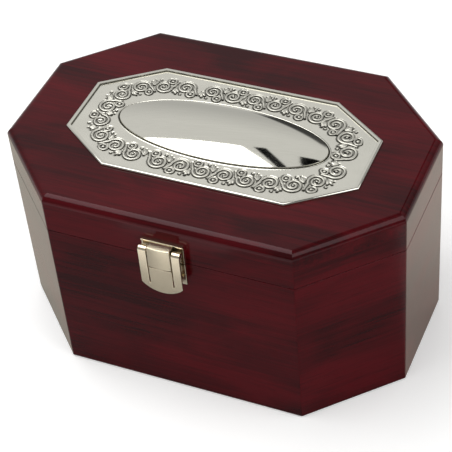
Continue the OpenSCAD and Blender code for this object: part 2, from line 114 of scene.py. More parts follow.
# How the filling of a soft piece presses on its cloth
FILLING = {"quality": 6, "mass": 0.2, "use_pressure": True, "uniform_pressure_force": 4, "tension_stiffness": 20,
           "compression_stiffness": 20, "shear_stiffness": 8, "bending_stiffness": 0.5}
FILLING_FRAMES = 20

# Lamps: name, which is also the setting of its power, place and size in m, turn in degrees, if gloss shows it
LAMPS = (
    ("key", (-0.311, -0.078, 0.79), (0.6, 0.7), (0, 0, 28.9), True),
    ("fill", (0.75, -0.1, 0.75), (0.7, 0.7), (0, 49, -8), True),
    ("front", (0.12, -0.85, 0.36), (0.5, 0.4), (70, 0, 8), False),
)
# Painted cards that only the gloss shows: name, setting of its colour, height and corners in mm
CARDS = (
    ("lamp_frame", "lamp_frame", 790, ((-192, 406), (-80, 140), (-60, 165), (-169, 444))),
    ("lamp_corner", "lamp_frame", 790, ((-85, 455), (-58, 290), (30, 330), (0, 550))),
    # The front card is painted shade: a grey sheet, seen only in the gloss, that gives the polished front a darker
    # floor to mirror than the lit floor in front of the box
    ("front_card", "front_card", 0.3, (
        (-125, -146), (-70, -146), (-66, -136), (-14, -136), (-10, -146), (300, -146), (300, -100), (85.1, -23),
        (52, -56.6), (-125, -56.6))),
    ("left_card", "left_card", 0.4, ((-52, -56.6), (-85.1, -23.4), (-85.1, 110), (-270, 110), (-270, -56.6))),
    ("right_card", "right_card", 0.2, ((85.1, -23), (230, -60), (230, 180), (85.1, 180))),
)
FLOOR_RADIUS = 4
# Camera at the photo's angle: place in m, the ways to its right, up and back, sensor and lens in mm
CAMERA_PLACE = (0.21243, -0.42928, 0.49163)
CAMERA_WAYS = ((0.92109, 0.38237, -0.07335), (-0.21435, 0.65529, 0.72433), (0.32502, -0.65145, 0.68554))
CAMERA_SENSOR, CAMERA_LENS = 36, 124.39


def linear(code):
    """Linear colour of an sRGB hex value."""
    parts = [int(code[i:i + 2], 16) / 255 for i in (0, 2, 4)]
    return [c / 12.92 if c <= 0.04045 else ((c + 0.055) / 1.055) ** 2.4 for c in parts]


def size(name, description, millimetres):
    """A length that a user may change, with its default in millimetres."""
    return FloatProperty(name=name, description=description, default=millimetres * MM, unit="LENGTH",
                         precision=5)


def colour(name, description, code):
    """A colour that a user may change, with its default as an sRGB hex value."""
    return FloatVectorProperty(name=name, description=description, default=linear(code), subtype="COLOR",
                               min=0, max=1)


def number(name, description, value, least=0):
    """A plain number that a user may change."""
    return FloatProperty(name=name, description=description, default=value, min=least)


def share(value):
    """Holds a number between 0 and 1."""
    return max(0.0, min(1.0, value))


class LacquerSettings(bpy.types.PropertyGroup):
    """Finish of the wooden walls, rails and panels."""
    dark: colour("Dark grain", "Colour of the dark grain under the lacquer", "2A0406")
    red: colour("Red grain", "Colour of the light, redder grain under the lacquer", "4E050D")
    pore: colour("Pores", "Colour of the filled pores", "1C0305")
    shine: colour("Shine", "Tint of the lacquer's reflections", "FFE7EC")
    streak_width: size("Streak width", "Width of a grain streak", 1.3)
    streak_length: size("Streak length", "Length of a grain streak", 60)
    figure_width: size("Figure width", "Width of a lighter patch of figure", 20)
    figure_length: size("Figure length", "Length of a lighter patch of figure", 60)
    pore_width: size("Pore width", "Width of a pore, drawn coarse enough to show", 0.4)
    pore_length: size("Pore length", "Length of a pore", 9)


class PlaqueSettings(bpy.types.PropertyGroup):
    """Pressed silver plate on the lid."""
    silver: colour("Silver", "Colour of the clean plate", "E3E1D6")
    oxide: colour("Oxide", "Colour of the darkened recesses", "454239")
    cut_x: size("Corner cut along", "Corner cut along the plate's length", 24.2)
    cut_y: size("Corner cut across", "Corner cut across the plate", 17.4)
    edge: size("Edge height", "Upright edge of the plate under its rounding", 0.4)
    rounding: size("Rounding", "Radius of the plate's rounded outer edge", 0.7)
    rim: size("Rim", "Width of the flat rim", 0.9)
    rim_wall: size("Rim wall", "Width of the slope from the rim down to the field", 0.2)
    oxide_line: size("Oxide line", "Width of the dark line at the foot of the rim", 0.14)
    drop: size("Drop", "Depth of the field below the rim", 0.7)
    dome_a: size("Dome half length", "Half length of the oval dome", 44.5)
    dome_b: size("Dome half width", "Half width of the oval dome", 16.4)
    dome_step: size("Dome edge", "Height of the dome's edge above the field", 0.5)
    band_a: size("Band half length", "Half length of the scroll band's middle line", 51.2)
    band_b: size("Band half width", "Half width of the scroll band's middle line", 23.2)
    squareness: number("Squareness", "Power of the band's rounded outline", 3.1, least=2)
    band_out: size("Band reach", "Reach of the worked ground outside the middle line", 5.9)
    runs: IntProperty(name="Scroll runs", description="Runs of scrolls round the dome", default=3, min=1)
    volutes: IntProperty(name="Volutes", description="Volutes in a run of scrolls", default=9, min=3)
    pitch: size("Scroll pitch", "Distance from one volute to the next", 9.27)
    first: size("First volute", "Distance of the first volute from the start of its run", 4)
    wire: size("Scroll radius", "Radius of the rounded scroll stems", 0.6)
    bead: size("Bead radius", "Radius of the beads in the eyes of the scrolls", 0.75)
    relief: number("Relief", "Height of the scrolls as a share of their half width", 0.7)
    chase: size("Chasing depth", "Depth of the ground beside the scrolls", 0.22)
    chase_width: size("Chasing width", "Width of the darkened ground beside the scrolls", 0.58)


class HaspSettings(bpy.types.PropertyGroup):
    """Spring hasp and other plated hardware."""
    nickel: colour("Nickel", "Colour of the plated sheet", "E3D6BC")
    sheet: size("Sheet", "Thickness of the flap's and the tongue's sheet", 0.85)
    plate: size("Plate", "Thickness of the screwed plates", 0.8)
    tongue: size("Tongue", "Width of the tongue between the rails", 9.6)
    slot: size("Slot", "Width of the slots beside the tongues", 0.45)
    slot_end: size("Slot end", "Height of the slots' lower end above the ground", 64.2)
    spring_top: size("Spring top", "Height of the spring tongue's upper end", 72.6)
    end_radius: size("End radius", "Radius of the flap's rounded lower end", 11.5)
    flange: size("Flange", "Reach of the flange along the hasp plate's top", 1.5)
    flange_edge: size("Flange edge", "Thickness of the flange", 0.5)
    slope: FloatProperty(name="Shelf slope", description="Slope of the shelf above the tongue",
                         default=math.radians(1), subtype="ANGLE")
    bend: size("Bend", "Outer radius of the bend between the shelf and the tongue", 0.35)
    bow: size("Bow", "Forward bow of the tongue across its width", 0.4)
    hook_in: size("Hook", "Distance of the hook's edge from the front of the box", 2.2)
    edge: size("Edge rounding", "Rounding of the stamped edges", 0.24)


class LiningSettings(bpy.types.PropertyGroup):
    """Cloth inside the box and felt under it."""
    cloth: colour("Cloth", "Colour of the lining cloth", "DCCDAE")
    shade: colour("Cloth shade", "Colour of the lining cloth down between its fibres", "B8A27C")
    felt: colour("Felt", "Colour of the felt under the box", "241A18")
    corner_cut: size("Corner cut", "Corner cut of the box, along each side", 33)
    board: size("Board", "Thickness of a lining board", 1.6)
    joint: size("Joint", "Room at each end of a lining board", 0.1)
    pillow: size("Pillow", "Depth by which a lining board's edges fall back", 0.9)
    margin: size("Margin", "Width over which a lining board's edges fall back", 5)
    swell: size("Swell", "Most that the filling moves the cloth", 1.6)


class StageSettings(bpy.types.PropertyGroup):
    """Floor, light and cards."""
    floor: colour("Floor", "Colour of the floor", "F9F9F8")
    lamp_frame: colour("Lamp frame", "Colour of the frame and the corner beside the overhead lamp", "0D0D0D")
    # Painted shade: grey of the sheet that the polished front mirrors in place of the lit floor
    front_card: colour("Front card", "Colour of the card that the polished front mirrors", "A4A4A4")
    left_card: colour("Left card", "Colour of the card that the left side mirrors", "DBD6C8")
    right_card: colour("Right card", "Colour of the card that the right end mirrors", "FFF7E9")
    key: number("Key", "Power of the soft overhead lamp in watts", 4.2)
    fill: number("Fill", "Power of the soft lamp on the right in watts", 3.6)
    front: number("Front", "Power of the lamp in front of the box in watts", 1.0)
    backdrop: number("Backdrop", "Brightness of the screen behind the box", 0.78)
    room: number("Room", "Brightness of the room round the set", 0.32)
    lift: number("Lift", "Glow of the white floor as the camera sees it", 0.22)
    gloss_lift: number("Gloss lift", "Glow of the white floor in the gloss", 0.08)


class BoxSettings(bpy.types.PropertyGroup):
    """All settings of the box."""
    lacquer: PointerProperty(type=LacquerSettings)
    plaque: PointerProperty(type=PlaqueSettings)
    hasp: PointerProperty(type=HaspSettings)
    lining: PointerProperty(type=LiningSettings)
    stage: PointerProperty(type=StageSettings)


def plug(tree, node, inputs):
    """Fills a node's inputs, each with a value, a socket to link, or a node, whose first output is linked."""
    for key, value in inputs.items():
        if isinstance(value, bpy.types.Node):
            value = value.outputs[0]
        if isinstance(value, bpy.types.NodeSocket):
            tree.links.new(value, node.inputs[key])
        else:
            node.inputs[key].default_value = value


def add_node(tree, kind, inputs=None, settings=None, stops=()):
    """Adds a node with its settings, links and ramp stops, each a place with a grey value or a colour."""
    node = tree.nodes.new("ShaderNode" + kind)
    for name, value in (settings or {}).items():
        setattr(node, name, value)
    plug(tree, node, inputs or {})
    if stops:
        elements = node.color_ramp.elements
        while len(elements) < len(stops):
            elements.new(1)
        for element, (place, value) in zip(elements, stops):
            element.position = place
            element.color = (value, value, value, 1) if isinstance(value, (int, float)) else (*value, 1)
    return node


def start_material(name):
    """A new material with its node tree and the shader that it starts with."""
    material = bpy.data.materials.new(name)
    material.use_nodes = True
    return material, material.node_tree, material.node_tree.nodes["Principled BSDF"]


def lacquered_mahogany(turn):
    """Mahogany under polished clear lacquer: dark red streaks with redder figure, and a flat mirror gloss."""
    s = bpy.context.scene.citron_box.lacquer
    name = f"lacquered_mahogany_{round(math.degrees(turn)) % 180:03d}"
    if name in bpy.data.materials:
        return bpy.data.materials[name]
    material, tree, shader = start_material(name)
    place = add_node(tree, "TexCoord").outputs["Object"]
    grain = []
    for length, width, noise in (
            (s.streak_length, s.streak_width, {"Detail": 4, "Roughness": 0.6}),
            (s.figure_length, s.figure_width, {"Detail": 3, "Distortion": 0.6}),
            (s.pore_length, s.pore_width, {"Detail": 1})):
        lie = add_node(tree, "Mapping", {
            "Vector": place, "Rotation": (0, 0, turn), "Scale": (length, width, width)}, REAL_SIZE)
        grain.append(add_node(tree, "TexNoise", {"Vector": lie, "Scale": 1, **noise}))
    streaks, figure, pores = grain
    both = add_node(tree, "Mix", {0: 0.66, 2: streaks, 3: figure}, {"data_type": "FLOAT"})
    tone = add_node(tree, "ValToRGB", {"Fac": both}, stops=[(0.38, s.dark), (0.62, s.red)])
    thin = add_node(tree, "ValToRGB", {"Fac": pores}, stops=[(0.60, 0.0), (0.74, 0.4)])
    wood = add_node(tree, "Mix", {0: thin, 6: tone, 7: (*s.pore, 1)}, {"data_type": "RGBA"})
    ripple = add_node(tree, "Mapping", {"Vector": place, "Scale": (9 * MM, 7 * MM, 7 * MM)}, REAL_SIZE)
    waves = add_node(tree, "TexNoise", {"Vector": ripple, "Scale": 1, "Detail": 0})
    skin = add_node(tree, "Bump", {"Strength": 0.06, "Distance": 0.3 * MM, "Height": waves})
    rough = add_node(tree, "MapRange", {"Value": figure, "To Min": 0.09, "To Max": 0.16})
    # The IOR is under a lacquer's usual 1.5, because the box mirrors its surroundings only dimly
    plug(tree, shader, {
        "Base Color": wood.outputs[2], "Roughness": rough, "IOR": 1.29, "Specular Tint": (*s.shine, 1),
        "Normal": skin})
    return material


def stained_mahogany():
    """Sanded mahogany that was stained but not polished, as on the hidden bottom panel."""
    s = bpy.context.scene.citron_box.lacquer
    material, tree, shader = start_material("stained_mahogany")
    place = add_node(tree, "TexCoord").outputs["Object"]
    lie = add_node(tree, "Mapping", {
        "Vector": place, "Scale": (s.streak_length, s.streak_width, s.streak_width)}, REAL_SIZE)
    streaks = add_node(tree, "TexNoise", {"Vector": lie, "Scale": 1, "Detail": 4})
    tone = add_node(tree, "ValToRGB", {"Fac": streaks}, stops=[(0.35, s.dark), (0.65, s.red)])
    skin = add_node(tree, "Bump", {"Strength": 0.3, "Distance": 0.1 * MM, "Height": streaks})
    plug(tree, shader, {
        "Base Color": tone, "Roughness": 0.6, "Normal": skin})
    return material


def pressed_silver(name, sheen, bright):
    """Silver plate pressed in a die: satin ground, with oxide left in the recesses by the patina attribute."""
    s = bpy.context.scene.citron_box.plaque
    material, tree, shader = start_material(name)
    place = add_node(tree, "TexCoord").outputs["Object"]
    dark = add_node(tree, "Attribute", settings={"attribute_name": "patina"})
    grain = add_node(tree, "TexNoise", {"Vector": place, "Scale": 1 / (0.45 * MM), "Detail": 2})
    wide = add_node(tree, "Mapping", {"Vector": place, "Scale": (14 * MM, 9 * MM, 9 * MM)}, REAL_SIZE)
    clouds = add_node(tree, "TexNoise", {"Vector": wide, "Scale": 1, "Detail": 3})
    clean = add_node(tree, "ValToRGB", {"Fac": clouds}, stops=[
        (0.3, [c * bright * 0.93 for c in s.silver]), (0.7, [c * bright for c in s.silver])])
    tone = add_node(tree, "Mix", {
        0: dark.outputs["Fac"], 6: clean, 7: (*s.oxide, 1)}, {"data_type": "RGBA"})
    rough = add_node(tree, "MapRange", {
        "Value": grain, "To Min": sheen - 0.05, "To Max": sheen + 0.06})
    skin = add_node(tree, "Bump", {"Strength": 0.12, "Distance": 0.05 * MM, "Height": grain})
    plug(tree, shader, {
        "Base Color": tone.outputs[2], "Metallic": 1, "Roughness": rough, "Normal": skin})
    return material


def polished_silver():
    """The same plate buffed to a mirror, with faint cloth marks across the dome."""
    s = bpy.context.scene.citron_box.plaque
    material, tree, shader = start_material("polished_silver_plate")
    place = add_node(tree, "TexCoord").outputs["Object"]
    strokes = add_node(tree, "Mapping", {
        "Vector": place, "Rotation": (0, 0, math.radians(12)), "Scale": (20 * MM, 0.5 * MM, 0.5 * MM)}, REAL_SIZE)
    marks = add_node(tree, "TexNoise", {"Vector": strokes, "Scale": 1, "Detail": 3})
    rough = add_node(tree, "MapRange", {"Value": marks, "To Min": 0.03, "To Max": 0.07})
    tone = add_node(tree, "ValToRGB", {"Fac": marks}, stops=[
        (0.25, [c * 0.87 for c in s.silver]), (0.75, [c * 0.92 for c in s.silver])])
    plug(tree, shader, {
        "Base Color": tone, "Metallic": 1, "Roughness": rough})
    return material


def plated_nickel():
    """Stamped steel with satin nickel plate: soft upright brush lines and a warm, slightly cloudy shine."""
    name = "satin_nickel_plate"
    if name in bpy.data.materials:
        return bpy.data.materials[name]
    s = bpy.context.scene.citron_box.hasp
    material, tree, shader = start_material(name)
    place = add_node(tree, "TexCoord").outputs["Object"]
    upright = add_node(tree, "Mapping", {
        "Vector": place, "Scale": (0.3 * MM, 0.3 * MM, 9 * MM)}, REAL_SIZE)
    brush = add_node(tree, "TexNoise", {"Vector": upright, "Scale": 1, "Detail": 3})
    wide = add_node(tree, "Mapping", {"Vector": place, "Scale": (5 * MM, 4 * MM, 4 * MM)}, REAL_SIZE)
    clouds = add_node(tree, "TexNoise", {"Vector": wide, "Scale": 1, "Detail": 2})
    tone = add_node(tree, "ValToRGB", {"Fac": clouds}, stops=[
        (0.3, [c * 0.9 for c in s.nickel]), (0.7, s.nickel)])
    rough = add_node(tree, "MapRange", {"Value": brush, "To Min": 0.19, "To Max": 0.28})
    skin = add_node(tree, "Bump", {"Strength": 0.04, "Distance": 0.03 * MM, "Height": brush})
    plug(tree, shader, {
        "Base Color": tone, "Metallic": 1, "Roughness": rough, "Normal": skin})
    return material


def short_pile(name, light, shade, pile, sheen):
    """Short-pile cloth such as velvet or felt: matt, with a soft bloom at the edges and a mottled lie."""
    material, tree, shader = start_material(name)
    place = add_node(tree, "TexCoord").outputs["Object"]
    fibres = add_node(tree, "TexNoise", {
        "Vector": place, "Scale": 1 / pile, "Detail": 3, "Roughness": 0.7})
    wide = add_node(tree, "Mapping", {
        "Vector": place, "Scale": (22 * MM, 16 * MM, 16 * MM)}, REAL_SIZE)
    lie = add_node(tree, "TexNoise", {"Vector": wide, "Scale": 1, "Detail": 3})
    both = add_node(tree, "Mix", {0: 0.45, 2: fibres, 3: lie}, {"data_type": "FLOAT"})
    tone = add_node(tree, "ValToRGB", {"Fac": both}, stops=[(0.32, shade), (0.62, light)])
    skin = add_node(tree, "Bump", {"Strength": 0.5, "Distance": 0.25 * MM, "Height": fibres})
    plug(tree, shader, {
        "Base Color": tone, "Roughness": 0.92, "Sheen Weight": sheen, "Sheen Roughness": 0.4,
        "Specular IOR Level": 0.2, "Normal": skin})
    return material


def matt_paint(name, tint):
    """Smooth matt paint: even, without any shine."""
    material, tree, shader = start_material(name)
    plug(tree, shader, {
        "Base Color": (*tint, 1), "Roughness": 0.9, "Specular IOR Level": 0.0})
    return material


def painted_floor(s):
    """Matt white paint with a faint glow of its own, so that it stays white beside the box's soft shadow."""
    material, tree, shader = start_material("painted_floor")
    rays = add_node(tree, "LightPath")
    gloss = add_node(tree, "MapRange", {
        "Value": rays.outputs["Is Glossy Ray"], "To Max": s.gloss_lift})
    glow = add_node(tree, "MapRange", {
        "Value": rays.outputs["Is Camera Ray"], "To Min": gloss.outputs[0], "To Max": s.lift})
    plug(tree, shader, {
        "Base Color": (*s.floor, 1), "Roughness": 0.9, "Specular IOR Level": 0.0,
        "Emission Color": (1, 1, 1, 1), "Emission Strength": glow})
    return material


def studio_world(s):
    """Plain grey room, with a pale screen behind and above the box, a dark corner in it and a pale horizon."""
    world = bpy.data.worlds.new("studio")
    world.use_nodes = True
    tree = world.node_tree
    tree.nodes.clear()
    way = add_node(tree, "TexCoord").outputs["Generated"]
    to_screen, to_corner = (-0.3, 0.745, 0.596), (0.9285, 0, -0.3714)
    facing = add_node(tree, "VectorMath", {0: way, 1: to_screen}, {"operation": "DOT_PRODUCT"})
    height = add_node(tree, "SeparateXYZ", {"Vector": way})
    fade = add_node(tree, "MapRange", {
        "Value": height.outputs["Z"], "From Min": 0.25, "From Max": 0.62,
        "To Min": 0.72 * s.backdrop, "To Max": s.backdrop})
    screen = add_node(tree, "MapRange", {
        "Value": facing.outputs["Value"], "From Min": 0.35, "From Max": 0.9, "To Min": s.room, "To Max": fade,
    }, {"interpolation_type": "SMOOTHSTEP"})
    across = add_node(tree, "VectorMath", {0: way, 1: to_corner}, {"operation": "DOT_PRODUCT"})
    place = add_node(tree, "MapRange", {
        "Value": across.outputs["Value"], "From Min": -0.36, "From Max": 0.04})
    corner = add_node(tree, "ValToRGB", {"Fac": place}, stops=[
        (0.05, 1.0), (0.0725, 0.1), (0.3, 0.1), (0.6, 0.8)])
    pale = add_node(tree, "Math", {0: screen, 1: corner}, {"operation": "MULTIPLY"})
    horizon = add_node(tree, "MapRange", {
        "Value": height.outputs["Z"], "From Min": 0.1, "From Max": 0.17, "To Min": 0.85, "To Max": 0.0})
    behind = add_node(tree, "MapRange", {
        "Value": height.outputs["Y"], "From Min": -0.2, "From Max": 0.2, "To Min": 0, "To Max": horizon})
    level = add_node(tree, "Math", {0: pale, 1: behind}, {"operation": "MAXIMUM"})
    light = add_node(tree, "Background", {"Color": (1, 1, 1, 1), "Strength": level})
    add_node(tree, "OutputWorld", {"Surface": light})
    return world


def new_object(name, bm):
    """Puts a bmesh into the scene as an object, and frees it."""
    mesh = bpy.data.meshes.new(name)
    bm.to_mesh(mesh)
    bm.free()
    made = bpy.data.objects.new(name, mesh)
    bpy.context.scene.collection.objects.link(made)
    return made


def make_piece(name, bm, body, materials, stands_for=(), sharp=38):
    """Turns a bmesh into a piece that rides on a body; edges past an angle in degrees are shaded sharp."""
    face_outward(bm)
    piece = new_object(name, bm)
    piece.data.shade_smooth()
    piece.data.set_sharp_from_angle(angle=math.radians(sharp))
    for material in materials:
        piece.data.materials.append(material)
    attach(piece, body)
    if stands_for:
        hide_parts(*stands_for)
    return piece


def finish_node(name, material):
    """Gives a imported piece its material."""
    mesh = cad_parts[name].data
    mesh.materials.clear()
    mesh.materials.append(material)


def octagon(half_x, half_y, cut_x, cut_y):
    """Corners of an eight-sided outline, counter-clockwise from the front left."""
    x, y = half_x - cut_x, half_y - cut_y
    return [(-x, -half_y), (x, -half_y), (half_x, -y), (half_x, y),
            (x, half_y), (-x, half_y), (-half_x, y), (-half_x, -y)]


def flat_face(bm, corners):
    """New face between new corners."""
    return bm.faces.new([bm.verts.new(corner) for corner in corners])


def face_outward(bm):
    """Turns all faces of a closed shape outwards."""
    bmesh.ops.recalc_face_normals(bm, faces=bm.faces[:])


def move(bm, way):
    """Moves a whole shape."""
    bmesh.ops.translate(bm, vec=way, verts=bm.verts[:])


def pull(bm, faces, way, keep=False):
    """Extrudes faces along a way and returns the moved ones; keep leaves the old ones as the far end."""
    made = bmesh.ops.extrude_face_region(bm, geom=faces, use_keep_orig=keep)["geom"]
    bmesh.ops.translate(bm, vec=way, verts=[v for v in made if isinstance(v, bmesh.types.BMVert)])
    if not keep:
        bmesh.ops.delete(bm, geom=faces, context="FACES")
    return [f for f in made if isinstance(f, bmesh.types.BMFace)]


def round_edges(bm, offset, sharper_than=40, segments=3):
    """Rounds every edge of a closed shape that is sharper than an angle in degrees."""
    face_outward(bm)
    limit = math.radians(sharper_than)
    edges = [e for e in bm.edges if len(e.link_faces) == 2 and e.calc_face_angle(0) > limit]
    bmesh.ops.bevel(bm, geom=edges, offset=offset, offset_type="OFFSET", segments=segments, profile=0.5,
                    affect="EDGES", clamp_overlap=True, material=-1)


def drawn_bar(bm, profile, width, steps=1):
    """Pulls a profile, given as pairs of Y and Z, across a width about the middle, in one or more steps."""
    faces = [flat_face(bm, [(-width / 2, y, z) for y, z in profile])]
    for k in range(steps):
        faces = pull(bm, faces, (width / steps, 0, 0), keep=k == 0)


def add_mesh(bm, other):
    """Adds one bmesh to another and frees it."""
    mesh = bpy.data.meshes.new("part")
    other.to_mesh(mesh)
    other.free()
    bm.from_mesh(mesh)
    bpy.data.meshes.remove(mesh)


class Band:
    """Way round the dome: s runs along the scroll band's middle line, t points out from it."""

    def __init__(self, half_x, half_y, power, z, steps):
        self.points, self.outward = [], []
        for k in range(steps + 1):
            x, y = math.cos(2 * math.pi * k / steps), math.sin(2 * math.pi * k / steps)
            grow = (abs(x) ** power + abs(y) ** power) ** (-1 / power)
            self.points.append(Vector((half_x * grow * x, half_y * grow * y, z)))
            slope = [math.copysign(abs(c) ** (power - 1), c) / half for c, half in ((x, half_x), (y, half_y))]
            self.outward.append(Vector((*slope, 0)).normalized())
        self.way = [0.0]
        for a, b in zip(self.points, self.points[1:]):
            self.way.append(self.way[-1] + (b - a).length)
        self.length = self.way[-1]

    def at(self, s, t):
        """Point at a way s along the middle line and t out from it."""
        s %= self.length
        k = min(bisect.bisect_right(self.way, s) - 1, len(self.points) - 2)
        f = (s - self.way[k]) / (self.way[k + 1] - self.way[k])
        return self.points[k].lerp(self.points[k + 1], f) + t * self.outward[k].lerp(self.outward[k + 1], f)


def volute(middle, start, turns, outer, eye, wire):
    """Spiral that winds in to its eye: places and radii of a stem that tapers by a quarter."""
    count = round(abs(turns) * VOLUTE_STEPS)
    for k in range(count + 1):
        f = k / count
        angle = math.radians(start) + turns * f * 2 * math.pi
        reach = outer + (eye - outer) * f
        yield middle[0] + reach * math.cos(angle), middle[1] + reach * math.sin(angle), wire * (1 - 0.25 * f)


def scroll_pattern(band, s):
    """Runs of scrolls: volutes that turn out and in by turns, each with a curl and a leaf of three lobes."""
    hand = random.Random(5)
    stems, beads = [], []
    root_x, root_y = LEAF_ROOT
    for run in range(s.runs):
        start = run * band.length / s.runs + s.first
        for index in range(s.volutes):
            side = 1 if index % 2 == 0 else -1
            middle = start + index * s.pitch + hand.uniform(-0.15, 0.15) * MM
            grow = hand.uniform(0.95, 1.05)

            def placed(rows):
                return [(middle + x * MM, side * y * MM, r * grow) for x, y, r in rows]

            arch = [(x, y, r * s.wire) for x, y, r in ARCH]
            arch += volute(EYE, start=185, turns=-1.75, outer=3.75 * grow, eye=0.9, wire=s.wire)
            stems.append(placed(arch))
            stems.append(placed(volute(CURL, 60, turns=-1.15, outer=1.7 * grow, eye=1.4, wire=0.85 * s.wire)))
            for x, y, wide in LOBES:
                waist = ((root_x + 2 * x) / 3, (root_y + 2 * y) / 3, wide * s.wire)
                stems.append(placed([(root_x, root_y, 0.7 * s.wire), waist, (x, y, 0.5 * s.wire)]))
            beads += placed([(x, y, r * s.bead) for x, y, r in BEADS])
    return stems, beads


def wires_to_mesh(stems, band):
    """Round tapering wires along the stems, as one mesh."""
    curve = bpy.data.curves.new("scroll_wires", "CURVE")
    curve.dimensions = "3D"
    curve.bevel_depth = 1
    curve.bevel_resolution = 2
    curve.use_fill_caps = True
    for rows in stems:
        spline = curve.splines.new("POLY")
        spline.points.add(len(rows) - 1)
        for point, (x, y, r) in zip(spline.points, rows):
            point.co = (*band.at(x, y), 1)
            point.radius = r
    wires = bpy.data.objects.new("scroll_wires", curve)
    bpy.context.scene.collection.objects.link(wires)
    mesh = evaluated_mesh(wires)
    bpy.data.objects.remove(wires)
    bpy.data.curves.remove(curve)
    return mesh


def dome_rings(s, field):
    """Half length, half width, height and oxide of each ring, from the dome's crown to the groove round it."""
    edge = field + s.dome_step
    rise = PLAQUE_HIGH.z - edge
    rings = []
    for k in range(CROWN_STEPS + 1):
        f = k / CROWN_STEPS
        rings.append((s.dome_a * f, s.dome_b * f, edge + rise * (1 - f ** 2), 0))
    for out, z, dark in GROOVE:
        rings.append((s.dome_a + out * MM, s.dome_b + out * MM, field + z * MM, dark))
    return rings


def pressed_sheet(s, field, band, ground):
    """Rim, field, worked ground and dome as one closed sheet; ground is a tree of scroll points and their radii."""
    bm = bmesh.new()
    rings = dome_rings(s, field)
    patina = bm.verts.layers.float.new("patina")
    tree, radii = ground
    groove = len(rings) - 1
    last = groove + GROUND_STEPS
    around = len(band.points) - 1
    bmesh.ops.create_grid(bm, x_segments=around, y_segments=last, size=1)
    polished = set()
    for v in bm.verts:
        k = round((v.co.y + 1) / 2 * last)
        way = round((v.co.x + 1) / 2 * around)
        angle = 2 * math.pi * way / around
        half_x, half_y, z, dark = rings[min(k, groove)]
        v.co = (half_x * math.cos(angle), half_y * math.sin(angle), z)
        v[patina] = dark
        if k <= CROWN_STEPS:
            polished.add(v)
        elif k > groove:
            rim = band.points[way] + s.band_out * band.outward[way]
            v.co = v.co.lerp(rim, (k - groove) / GROUND_STEPS)
            if k < last - 1:
                _, index, distance = tree.find(v.co)
                v[patina] = share(1 - (distance - radii[index]) / s.chase_width)
                v.co.z -= s.chase * v[patina]
    for f in bm.faces:
        f.material_index = int(all(v in polished for v in f.verts))
    bmesh.ops.remove_doubles(bm, verts=bm.verts[:], dist=WELD)
    ring_edge = [e for e in bm.edges if e.is_boundary]
    half = (PLAQUE_HIGH - PLAQUE_LOW) / 2
    top = flat_face(bm, [(x, y, PLAQUE_LOW.z) for x, y in octagon(half.x, half.y, s.cut_x, s.cut_y)])
    top = pull(bm, [top], (0, 0, s.edge), keep=True)
    turns = [math.pi / 2 * k / ROUNDING_STEPS for k in range(ROUNDING_STEPS + 1)]
    steps = [(s.rounding * (math.cos(a) - math.cos(b)), s.rounding * (math.sin(b) - math.sin(a)), 0, 1)
             for a, b in zip(turns, turns[1:])]
    steps += [(s.rim, 0, 0, 1), (s.rim_wall, -s.drop, 1, 0), (s.oxide_line, 0, 0, 0)]
    for thickness, depth, dark, finish in steps:
        made = bmesh.ops.inset_region(bm, faces=top, thickness=thickness, depth=depth, use_even_offset=True)
        for f in made["faces"]:
            f.material_index = finish
        for f in top:
            for v in f.verts:
                v[patina] = dark
    hole = [e for f in top for e in f.edges]
    bmesh.ops.delete(bm, geom=top, context="FACES_ONLY")
    bmesh.ops.triangle_fill(bm, use_beauty=True, edges=ring_edge + hole, normal=(0, 0, 1))
    return bm


def scroll_relief(s, band, stems, beads, field):
    """Rounded stems and beads that stand on the worked ground, darker towards their feet."""
    bm = bmesh.new()
    mesh = wires_to_mesh(stems, band)
    bm.from_mesh(mesh)
    bpy.data.meshes.remove(mesh)
    bmesh.ops.remove_doubles(bm, verts=bm.verts[:], dist=WELD)
    for x, y, r in beads:
        bead = bmesh.new()
        bmesh.ops.create_uvsphere(bead, u_segments=10, v_segments=6, radius=r,
                                  matrix=Matrix.Translation(band.at(x, y)))
        add_mesh(bm, bead)
    patina = bm.verts.layers.float.new("patina")
    for v in bm.verts:
        height = v.co.z - field
        v[patina] = share(1 - height / (0.75 * s.wire))
        v.co.z = field + s.relief * height
    return bm


def scroll_tree(band, stems, beads):
    """Tree of points along the scrolls, and the radius that each covers, a little less than its own."""
    rows = [row for stem in stems for row in stem] + beads
    tree = kdtree.KDTree(len(rows))
    for index, (x, y, _) in enumerate(rows):
        tree.insert(band.at(x, y), index)
    tree.balance()
    return tree, [0.85 * r for _, _, r in rows]


